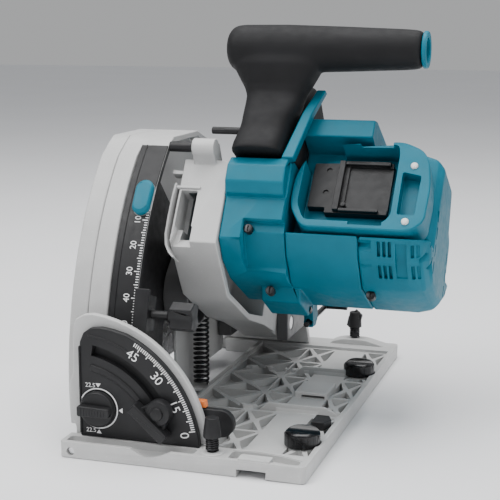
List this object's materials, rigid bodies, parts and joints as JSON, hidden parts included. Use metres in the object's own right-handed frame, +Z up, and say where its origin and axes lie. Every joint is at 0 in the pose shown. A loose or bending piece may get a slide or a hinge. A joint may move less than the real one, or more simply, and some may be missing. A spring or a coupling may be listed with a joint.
{
  "type": "track plunge saw",
  "caption": "Cordless circular saw that plunges through a hinged head and tilts on a ribbed base made to run on a guide rail.",
  "frame": {"origin": "centre of the sole, on its flat underside", "axes": "+X towards the motor end, -Y towards the front of the saw, +Y along the base to the rear, +Z up from the sole"},
  "size_m": [0.229, 0.344, 0.2762],
  "materials": {
    "casting": "fine cast, satin",
    "teal": "moulded, light satin texture",
    "black": "glass-filled nylon, fine grain",
    "gloss_black": "glossy",
    "steel": "turned and ground",
    "dark_steel": "blackened",
    "blade": "ground",
    "pale": "smooth",
    "orange": "smooth",
    "board": "circuit board"
  },
  "bodies": {
    "base": {"base_plate": "casting", "glide_strip": "pale", "front_quadrant": "black", "rear_quadrant": "black", "bevel_pin_front": "steel", "bevel_pin_rear": "steel", "clamp_spring_front": "dark_steel", "clamp_spring_rear": "dark_steel"},
    "stop_dial": {"positive_stop_dial": "black"},
    "rail_knob_front_body": {"rail_knob_front": "gloss_black"},
    "rail_knob_rear_body": {"rail_knob_rear": "gloss_black"},
    "clamp_screw_front_body": {"clamp_screw_front": "black"},
    "clamp_screw_rear_body": {"clamp_screw_rear": "black"},
    "slider_body": {"rail_slider": "black"},
    "undercut_lever_body": {"undercut_lever": "black", "undercut_lever_tip": "orange"},
    "tilt_frame": {"blade_case": "casting", "case_cover": "casting", "depth_scale": "black", "front_bracket": "casting", "rear_bracket": "casting", "plunge_yoke": "casting", "plunge_shaft": "steel", "return_spring": "dark_steel"},
    "bevel_lever_front_body": {"bevel_lever_front": "black"},
    "bevel_lever_rear_body": {"bevel_lever_rear": "black"},
    "depth_stop_body": {"depth_stop_block": "black"},
    "stop_knob_body": {"depth_stop_knob": "black"},
    "scoring_button_body": {"scoring_button": "teal"},
    "dust_nozzle_body": {"dust_nozzle": "black"},
    "head": {"gear_housing": "casting", "gear_cover": "casting", "stop_rod": "black", "spindle_bearing": "steel", "motor_housing": "teal", "motor_end_cap": "teal", "battery_bay_front": "teal", "battery_bay_rear": "teal", "terminal_block_front": "black", "terminal_block_rear": "black", "stator": "dark_steel", "control_board": "board", "motor_bearing": "steel", "front_handle": "black", "grip_end_ring": "teal", "rear_handle": "black", "hex_key": "dark_steel"},
    "blade_group": {"spindle": "steel", "driven_gear": "steel", "saw_blade": "blade", "inner_flange": "steel", "outer_flange": "steel", "blade_bolt": "steel"},
    "rotor_group": {"rotor": "steel", "pinion": "steel", "cooling_fan": "black"},
    "trigger_body": {"trigger": "black"},
    "lock_off_body": {"lock_off_button": "black"},
    "lock_pin_body": {"spindle_lock_pin": "black"},
    "speed_dial_body": {"speed_dial": "black"}
  },
  "joints": [
    {"name": "bevel_tilt", "type": "hinge", "parent": "base", "child": "tilt_frame", "pos_m": [-0.075, 0, 0.0045], "axis": [0, -1, 0], "range_deg": [0, 48]},
    {"name": "plunge", "type": "hinge", "parent": "tilt_frame", "child": "head", "pos_m": [0, 0.084, 0.04], "axis": [1, 0, 0], "range_deg": [0, 29.5], "stiffness_Nm_per_rad": 6, "springref_deg": -57.3, "deforming": ["return_spring"]},
    {"name": "blade_spin", "type": "hinge", "parent": "head", "child": "blade_group", "pos_m": [-0.073, -0.0247, 0.08592], "axis": [1, 0, 0], "continuous": true},
    {"name": "rotor_spin", "type": "hinge", "parent": "head", "child": "rotor_group", "pos_m": [0.03, -0.01907, 0.11091], "axis": [1, 0, 0], "continuous": true},
    {"name": "stop_dial_turn", "type": "hinge", "parent": "base", "child": "stop_dial", "pos_m": [-0.0602, -0.141, 0.031], "axis": [0, 1, 0], "range_deg": [0, 90]},
    {"name": "rail_knob_front_turn", "type": "hinge", "parent": "base", "child": "rail_knob_front_body", "pos_m": [0.0685, -0.107, 0.0093], "axis": [0, 0, 1], "range_deg": [-45, 45]},
    {"name": "rail_knob_rear_turn", "type": "hinge", "parent": "base", "child": "rail_knob_rear_body", "pos_m": [0.069, 0.06, 0.0093], "axis": [0, 0, 1], "range_deg": [-45, 45]},
    {"name": "clamp_screw_front_turn", "type": "hinge", "parent": "base", "child": "clamp_screw_front_body", "pos_m": [0.0194, -0.143, 0.0123], "axis": [0, 0, 1], "range_deg": [0, 180]},
    {"name": "clamp_screw_rear_turn", "type": "hinge", "parent": "base", "child": "clamp_screw_rear_body", "pos_m": [0.0468, 0.143, 0.0163], "axis": [0, 0, 1], "range_deg": [0, 180]},
    {"name": "rail_slider_slide", "type": "slide", "parent": "base", "child": "slider_body", "axis": [-1, 0, 0], "range_m": [0, 0.004]},
    {"name": "undercut_lever_turn", "type": "hinge", "parent": "base", "child": "undercut_lever_body", "pos_m": [-0.006, -0.125, 0.022], "axis": [0, -1, 0], "range_deg": [0, 25]},
    {"name": "bevel_lever_front_turn", "type": "hinge", "parent": "tilt_frame", "child": "bevel_lever_front_body", "pos_m": [-0.01604, -0.14, 0.03416], "axis": [0, 1, 0], "range_deg": [0, 30]},
    {"name": "bevel_lever_rear_turn", "type": "hinge", "parent": "tilt_frame", "child": "bevel_lever_rear_body", "pos_m": [-0.01604, 0.14, 0.03416], "axis": [0, 1, 0], "range_deg": [0, 30]},
    {"name": "depth_stop_slide", "type": "hinge", "parent": "tilt_frame", "child": "depth_stop_body", "pos_m": [-0.0416, 0.084, 0.04], "axis": [1, 0, 0], "range_deg": [-26, 0]},
    {"name": "stop_knob_turn", "type": "hinge", "parent": "depth_stop_body", "child": "stop_knob_body", "pos_m": [-0.0313, -0.11668, 0.09078], "axis": [1, 0, 0], "range_deg": [0, 90]},
    {"name": "scoring_button_press", "type": "slide", "parent": "tilt_frame", "child": "scoring_button_body", "axis": [-1, 0, 0], "range_m": [0, 0.004], "stiffness_N_per_m": 200},
    {"name": "dust_nozzle_swivel", "type": "hinge", "parent": "tilt_frame", "child": "dust_nozzle_body", "pos_m": [-0.06, 0.1, 0.108], "axis": [0, 1, 0], "range_deg": [-90, 90]},
    {"name": "trigger_pull", "type": "slide", "parent": "head", "child": "trigger_body", "axis": [0, 0.8356, 0.5493], "range_m": [0, 0.0045], "stiffness_N_per_m": 400},
    {"name": "lock_off_press", "type": "slide", "parent": "head", "child": "lock_off_body", "axis": [1, 0, 0], "range_m": [0, 0.003], "stiffness_N_per_m": 200},
    {"name": "lock_pin_press", "type": "slide", "parent": "head", "child": "lock_pin_body", "axis": [1, 0, 0], "range_m": [0, 0.005], "stiffness_N_per_m": 200},
    {"name": "speed_dial_turn", "type": "hinge", "parent": "head", "child": "speed_dial_body", "pos_m": [0.08, 0.02028, 0.18325], "axis": [0, 0.4924, 0.8704], "range_deg": [0, 270]}
  ],
  "couplings": [
    {"joint": "rotor_spin", "follows": "blade_spin", "ratio": -4}
  ]
}
